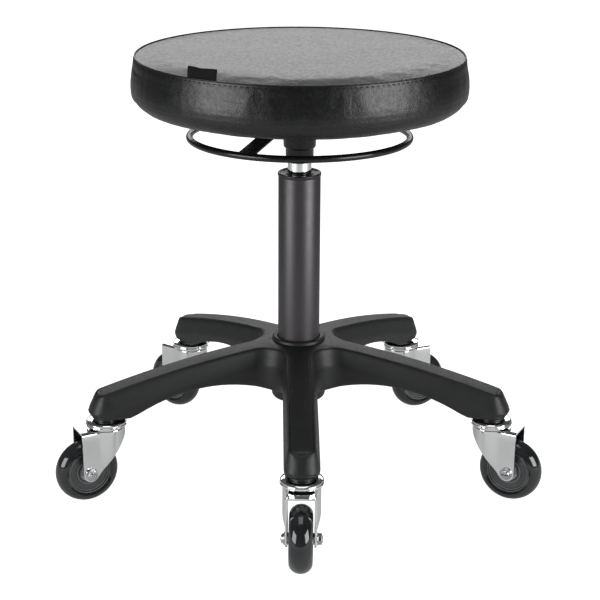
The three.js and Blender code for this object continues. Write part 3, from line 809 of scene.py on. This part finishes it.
def topstitch():
    parts = []
    for k in range(STITCHES):
        turn = Matrix.Rotation(TAU * k / STITCHES, 4, "Z")
        out = Matrix.Translation((190.55, 0, SEAM["z"] - STITCH_DROP))
        lie = Matrix.Rotation(math.pi / 2, 4, "Z") @ Matrix.Rotation(0.05, 4, "Y")
        parts.append(moved(stitch_shape(3.9, 0.5), turn @ out @ lie))
    item = build("topstitch_thread", joined(*parts), "thread", AT_COLUMN)
    stand(item, "seat")


def welt():
    """The folded edge of the side band where it meets the top panel."""
    section = [(189.35 + 0.75 * math.cos(t), 518.95 + 0.75 * math.sin(t))
               for t in (TAU * k / 10 for k in range(10))]
    stand(build("seam_welt", ring(section, 256), "vinyl", AT_COLUMN), "seat")


def label():
    """A folded woven label sewn into the seam, standing up and leaning in a little."""
    across, up = 24, 10
    layers = []
    for side in (1, -1):
        rows = []
        for i in range(across + 1):
            u = i / across - 0.5
            row = []
            for j in range(up + 1):
                v = j / up
                bow = 1.1 * math.sin(math.pi * (u + 0.5)) * v - 1.6 * v * v
                height = TAG["height"] * v - 0.35 * math.cos(TAU * 1.3 * u) * v
                gap = side * (0.28 if v < 1 else 0.05)
                row.append((TAG["radius"] - 0.6 + bow + gap, TAG["width"] * u, height))
            rows.append(row)
        layers.append(grid_mesh(rows))
    turn = Matrix.Rotation(math.radians(TAG["angle"]), 4, "Z")
    place = AT_COLUMN @ turn @ Matrix.Translation((0, 0, (SEAM["z"] + 0.2) * MM))
    part = joined(*layers)
    item = build("side_label", part, "label", place, angle=70)
    thicken = item.modifiers.new("thread", "SOLIDIFY")
    thicken.thickness = 0.0003
    thicken.offset = 0
    stand(item, "seat", "tag")


def dust_cover():
    """Black cloth stapled under the board, sagging a little between its staples."""
    rows = []
    staples = 28
    for i in range(196):
        theta = TAU * i / 196
        row = [(5.0 * math.cos(theta), 5.0 * math.sin(theta), 455.9)]
        for r in (30, 60, 90, 115, 135, 148, 156, 160, 161, 160.6):
            sag = 0.9 * noise.noise(Vector((r * math.cos(theta) * 0.02,
                                            r * math.sin(theta) * 0.02, 5)))
            scallop = 1.2 * (1 - abs(math.cos(theta * staples / 2))) if r > 150 else 0
            z = 455.5 + sag * (r < 150) + (0.5 if r == 160.6 else 0)
            row.append(((r - scallop) * math.cos(theta), (r - scallop) * math.sin(theta), z))
        rows.append(row)
    skin = grid_mesh(rows, wrap_rows=True)
    cap = ([row[0] for row in rows], [tuple(range(196))])
    item = build("dust_cover_cloth", joined(skin, cap), "cloth", AT_COLUMN, angle=60)
    thicken = item.modifiers.new("cloth", "SOLIDIFY")
    thicken.thickness = 0.0004
    thicken.offset = 1
    stand(item, "seat", "dust_cover")
    parts = []
    for k in range(staples):
        turn = Matrix.Rotation(TAU * (k + 0.5) / staples, 4, "Z")
        wire = block(156.3, 157.1, -5, 5, 454.6, 455.3)
        parts.append(moved(wire, turn))
    stand(build("cover_staples", joined(*parts), "zinc", AT_COLUMN, bevel=0.2), "seat")


def board():
    outline = [(0, 458.6), (168, 458.6), (169.6, 459.4), (169.8, 468), (168.6, 469.2),
               (0, 469.2)]
    stand(build("seat_board_disc", lathe(outline, 128), "plywood", AT_COLUMN), "seat",
          "seat_board")


def rounded_square(half, corner, steps=6):
    inset = half - corner
    outline = []
    for x, y, start in ((1, 1, 0), (-1, 1, 90), (-1, -1, 180), (1, -1, 270)):
        outline += arc((x * inset, y * inset), corner, start, start + 90, steps)
    return outline


def plate():
    """The pressed mounting plate, with two long swages."""
    parts = [prism(rounded_square(85, 15), 452.7, 455.2)]
    for y in (-44, 44):
        rib = [(x, y + dy) for x, dy in arc((48, 0), 5, -90, 90, 6)]
        rib += [(x, y + dy) for x, dy in arc((-48, 0), 5, 90, 270, 6)]
        parts.append(prism(rib, 451.5, 453.2))
    item = build("seat_plate_pressing", joined(*parts), "steel", AT_COLUMN, bevel=0.8)
    stand(item, "seat", "seat_plate")


def plate_bolts():
    """Hex head bolts with washers, at the four corners of the plate."""
    for i, (x, y) in enumerate(((65, 65), (-65, 65), (-65, -65), (65, -65))):
        hexagon = arc((0, 0), 6.2, 0, 300, 5)
        head = prism(hexagon, 447.9, 451.6)
        washer = ring([(3.2, 451.5), (7.6, 451.5), (7.6, 452.6), (3.2, 452.6)], 32)
        shank = lathe([(0, 451), (3, 451), (3, 467), (2.4, 467.5), (0, 467.5)], 24)
        part = moved(joined(head, washer, shank), Matrix.Translation((x, y, 0)))
        item = build(f"plate_bolt_head_{i + 1}", part, "zinc", AT_COLUMN, bevel=0.35)
        stand(item, "seat", f"plate_bolt_{i + 1}")


# ---------------------------------------------------------------- casters


def fork_plan():
    """Half of the fork's outline from above, from the front edge to the middle of the back."""
    half = [(36.5, 17.3), (30, 17.0), (22, 16.8), (15.5, 16.8), (12, 17.4), (8.5, 19.2),
            (4, 20.9), (-1, 21.6), (-6, 21.0), (-11, 18.8), (-15.5, 15.2), (-19, 10.8),
            (-21.2, 5.6), (-22, 0)]
    return smooth(half, 3)


def smooth(points, repeats):
    """Corner cutting that keeps both ends."""
    for _ in range(repeats):
        finer = [points[0]]
        for a, b in zip(points, points[1:]):
            finer.append((0.75 * a[0] + 0.25 * b[0], 0.75 * a[1] + 0.25 * b[1]))
            finer.append((0.25 * a[0] + 0.75 * b[0], 0.25 * a[1] + 0.75 * b[1]))
        finer.append(points[-1])
        points = finer
    return points


def leg_bottom(x):
    """The lower edge of the fork at a place along it: slanting, then round the axle's eye."""
    eye = FORK["eye"]
    tangent = TRAIL - 7.06
    if x < tangent:
        return 31.6 + (tangent - x) * (85 - 31.6) / (tangent + 22)
    across = min(1.0, abs(x - TRAIL) / eye)
    return WHEEL_RADIUS - eye * math.sqrt(1 - across * across)


def crown_height(x):
    """The top of the fork at a place along it, a little lower over the wheel."""
    return FORK["top"] - 1.2 * min(1.0, max(0.0, (x - 13) / 4))


def caster_fork(place, name):
    """The bent sheet fork: flat crown, rounded bend and two legs, as rows round its outline."""
    half = fork_plan()
    outline = half + [(x, -y) for x, y in reversed(half[:-1])]
    bend, crown_back = FORK["bend"], FORK["crown_back"]
    rows = []
    for x, y in outline:
        top, low = crown_height(x), leg_bottom(x)
        ux, uy = (x / 40 if x > 0 else x / 22), y / 20
        size = math.hypot(ux, uy) or 1
        ux, uy = ux / size, uy / size
        if x > FORK["flat_from"]:
            ux, uy = 0, math.copysign(1, y)
        middle = max(x, crown_back)
        row = [(middle, 0, top), ((x + middle) / 2, y * 0.5, top)]
        for turn in (90, 67, 45, 22, 0):
            back = bend * (1 - math.cos(math.radians(turn)))
            drop = bend * (1 - math.sin(math.radians(turn)))
            row.append((x - ux * back, y - uy * back, top - drop))
        for part in (0.15, 0.35, 0.6, 0.85, 1):
            row.append((x, y, top - bend + (low - top + bend) * part))
        rows.append(row)
    part = grid_mesh(rows)
    item = build(name, part, "chrome", place, angle=38)
    thicken = item.modifiers.new("sheet", "SOLIDIFY")
    thicken.thickness = FORK["sheet"] * MM
    thicken.offset = -1
    thicken.use_even_offset = True
    add_bevel(item, 0.0003)
    return item


RACE = [(9, 91.4), (21.6, 91.3), (23.4, 91.5), (24.3, 92.3), (24.5, 93.2), (24.2, 94.1),
        (23.3, 94.7), (22.6, 94.9), (22.6, 95.1), (23.3, 95.3), (23.9, 95.9), (23.9, 96.8),
        (23.2, 97.6), (21.6, 98.1), (19.6, 98.4), (16, 98.5), (9, 98.4)]
# The tread's arc reaches 11.74 to either side and is widened to the tyre's half width.
TYRE_HALF = 13
TREAD = arc((26, 0), 12, -78, 78, 26)
TYRE = [(26, -11.2), *[(r, z * TYRE_HALF / 11.74) for r, z in TREAD], (26, 11.2)]
CORE = [(11.3, -8.6), (13.6, -8.9), (14.4, -8.4), (14.9, -7.2), (16, -6.9), (22.6, -7.1),
        (23.6, -8.1), (25.6, -9.3), (25.9, -9.6), (25.9, 9.6), (25.6, 9.3), (23.6, 8.1),
        (22.6, 7.1), (16, 6.9), (14.9, 7.2), (14.4, 8.4), (13.6, 8.9), (11.3, 8.6)]
# Lighter rings on the core's ridges: the two outer ones are painted highlight on the translucent
# rim, the inner one is the lighter sleeve at the hub.
CORE_SLEEVE_AND_HIGHLIGHT_RINGS = [(25.7, 10.1, 0.45), (23.5, 8.1, 0.38), (14.6, 8.6, 0.5)]
BEARING = [(4.6, -14.5), (6.3, -14.5), (6.5, -14.2), (6.5, -9.2), (7.2, -8.9), (7.6, -8.5),
           (9.8, -8.5), (10.2, -8.9), (11, -8.9), (11, 8.9), (10.2, 8.9), (9.8, 8.5),
           (7.6, 8.5), (7.2, 8.9), (6.5, 9.2), (6.5, 14.2), (6.3, 14.5), (4.6, 14.5)]
ON_AXLE = Matrix.Translation((TRAIL, 0, WHEEL_RADIUS)) @ Matrix.Rotation(math.pi / 2, 4, "X")


def axle_bolt():
    """A flanged round head and the plain shank through the wheel; the slotted drive is not cut but
    painted as shade, a thin dark block across the head.
    """
    head = [(0, 21.9), (2.6, 21.9), (4.6, 21.3), (5.4, 20.2), (5.6, 18.9), (7.2, 18.7),
            (7.5, 18.2), (7.3, 17.5), (4, 17.5), (4, -23.4), (3.4, -24), (0, -24)]
    # Painted shade: the drive slot is a thin dark block standing a little proud of the head, not a
    # cut.
    slot_shade = block(-4.0, 4.0, -0.55, 0.55, 21.5, 22.15)
    return lathe(head[::-1], 32), slot_shade


def axle_nut():
    """A flanged hexagon nut."""
    hexagon = prism(arc((0, 0), 6.4, 0, 300, 5), -22.9, -18.4)
    flange = ring([(4.4, -18.9), (7.1, -18.9), (7.5, -18.2), (7.4, -17.6), (4.4, -17.6)], 32)
    return joined(hexagon, flange)


def caster(number):
    swivel = Vector(JOINTS[f"caster_{number}_swivel"]["pos_m"])
    axle = Vector(JOINTS[f"caster_{number}_roll"]["pos_m"])
    heading = math.atan2(axle.y - swivel.y, axle.x - swivel.x)
    place = Matrix.Translation((swivel.x, swivel.y, 0)) @ Matrix.Rotation(heading, 4, "Z")
    name = f"caster_{number}"
    fork, wheel = f"fork_{number}", f"wheel_{number}"

    stem = lathe([(0, 92), (5.5, 92), (5.5, 126.5), (4.6, 127.5), (0, 127.5)], 32)
    shaped = joined(ring(RACE, 80), stem)
    stand(build(f"{name}_race", shaped, "chrome", place), "stand", f"{name}_stem")
    washer = ring([(5.6, 98.4), (13.4, 98.4), (14, 99), (14, 101), (13.4, 101.7), (5.6, 101.7)],
                  48)
    stand(build(f"{name}_washer", washer, "plastic", place), "stand")

    stand(caster_fork(place, f"{name}_yoke"), fork, f"{name}_fork")
    rivet = lathe([(0, 85.6), (6.5, 85.8), (7.8, 86.8), (8, 88.6), (0, 88.6)], 40)
    stand(build(f"{name}_rivet", rivet, "chrome", place), fork)
    bolt, slot_shade = axle_bolt()
    item = build(f"{name}_bolt", moved(bolt, ON_AXLE), "zinc", place)
    stand(item, fork, f"{name}_axle")
    # Painted shade: the dark block that stands for the shade in the bolt's slot.
    item = build(f"{name}_bolt_slot_shade", moved(slot_shade, ON_AXLE), "steel", place)
    stand(item, fork)
    item = build(f"{name}_flange_nut", moved(axle_nut(), ON_AXLE), "zinc", place, bevel=0.4)
    stand(item, fork)

    item = build(f"{name}_tread", moved(ring(TYRE, 96), ON_AXLE), "tyre", place)
    stand(item, wheel, f"{name}_tyre")
    item = build(f"{name}_hub", moved(ring(CORE, 80), ON_AXLE), "core", place)
    stand(item, wheel, f"{name}_core")
    # Painted highlight: lighter rings on the core's outer ridges, together with the lighter sleeve
    # ring at the hub.
    sleeve_and_highlight_rings = []
    for radius, side, size in CORE_SLEEVE_AND_HIGHLIGHT_RINGS:
        for sign in (1, -1):
            section = [(radius + size * x, sign * side + size * z)
                       for x, z in arc((0, 0), 1, 0, 300, 5)]
            sleeve_and_highlight_rings.append(ring(section, 80))
    item = build(f"{name}_hub_sleeve_and_highlight_rings", moved(joined(*sleeve_and_highlight_rings), ON_AXLE), "core_sleeve_and_highlight", place)
    stand(item, wheel)
    item = build(f"{name}_ball_bearing", moved(ring(BEARING, 48), ON_AXLE), "zinc", place)
    stand(item, wheel, f"{name}_bearing")


# ---------------------------------------------------------------- stage


def camera():
    """Seen from the front and a little above, at the lens that gives the same perspective."""
    data = bpy.data.cameras.new("view")
    data.lens = 96.93
    data.sensor_width = 36
    data.clip_end = 50
    item = bpy.data.objects.new("view", data)
    bpy.context.scene.collection.objects.link(item)
    pitch, yaw, roll = 0.3272, 0.0104, 0.0058
    stance = COLUMN + Vector((-0.01778, -1.84373, 0.84672))
    turn = Matrix.Rotation(-yaw, 4, "Z") @ Matrix.Rotation(math.pi / 2 - pitch, 4, "X")
    turn = turn @ Matrix.Rotation(roll, 4, "Z")
    item.matrix_world = Matrix.Translation(stance) @ turn
    bpy.context.scene.camera = item


def area_light(name, place, target, width, height, power, color=(1, 1, 1)):
    data = bpy.data.lights.new(name, "AREA")
    data.shape = "RECTANGLE"
    data.size = width
    data.size_y = height
    data.energy = power
    data.color = color
    item = bpy.data.objects.new(name, data)
    bpy.context.scene.collection.objects.link(item)
    item.location = place
    item.rotation_euler = (Vector(target) - Vector(place)).to_track_quat("-Z", "Y").to_euler()


def lights():
    area_light("back_panel", (0, 3.2, 1.3), (0, 0, 0.5), 3.4, 0.75, 21)
    area_light("left_panel", (-1.56, -1.09, 0.62), (0, 0, 0.35), 1.2, 0.9, 18.5)
    area_light("right_panel", (1.56, -1.05, 0.62), (0, 0, 0.35), 1.2, 0.9, 22)
    area_light("top_panel", (0, -0.2, 2.6), (0, 0, 0.3), 1.4, 1.4, 10)


def world():
    """A white surround for the camera, and a softer grey one as light."""
    scene_world = bpy.data.worlds.new("studio")
    bpy.context.scene.world = scene_world
    scene_world.use_nodes = True
    nodes, links = scene_world.node_tree.nodes, scene_world.node_tree.links
    nodes.clear()
    seen = nodes.new("ShaderNodeBackground")
    seen.inputs["Color"].default_value = (1, 1, 1, 1)
    seen.inputs["Strength"].default_value = 1.05
    lit = nodes.new("ShaderNodeBackground")
    lit.inputs["Color"].default_value = (0.95, 0.98, 1, 1)
    lit.inputs["Strength"].default_value = 0.08
    path = nodes.new("ShaderNodeLightPath")
    mix = nodes.new("ShaderNodeMixShader")
    output = nodes.new("ShaderNodeOutputWorld")
    links.new(path.outputs["Is Camera Ray"], mix.inputs["Fac"])
    links.new(lit.outputs[0], mix.inputs[1])
    links.new(seen.outputs[0], mix.inputs[2])
    links.new(mix.outputs[0], output.inputs["Surface"])


def floor():
    mesh = bpy.data.meshes.new("floor")
    size = 9
    corners = [(-size, -size, 0), (size, -size, 0), (size, size, 0), (-size, size, 0)]
    mesh.from_pydata(corners, [], [(0, 1, 2, 3)])
    item = bpy.data.objects.new("floor", mesh)
    bpy.context.scene.collection.objects.link(item)
    look = Look("floor_white", (0.7, 0.7, 0.7), 0.8, extras=[("Emission Color", (1, 1, 1, 1))])
    path = look.nodes.new("ShaderNodeLightPath")
    glow = look.ranged(path.outputs["Is Camera Ray"], 0.12, 0.98, 0, 1)
    look.links.new(glow, look.shader.inputs["Emission Strength"])
    mesh.materials.append(look.material)


def carried_over():
    """Procedural finishes for every CAD node that stays on show."""
    for item in frame["nodes"].values():
        item.data.materials.clear()
        item.data.materials.append(LOOKS["steel"])


# ---------------------------------------------------------------- assembly

bpy.context.scene.view_settings.view_transform = "Standard"
camera()
world()
lights()
floor()
carried_over()
star_base()
gas_lift()
seat_socket()
ring_lever()
cushion()
welt()
topstitch()
label()
dust_cover()
board()
plate()
plate_bolts()
for number in range(1, ARM_COUNT + 1):
    caster(number)
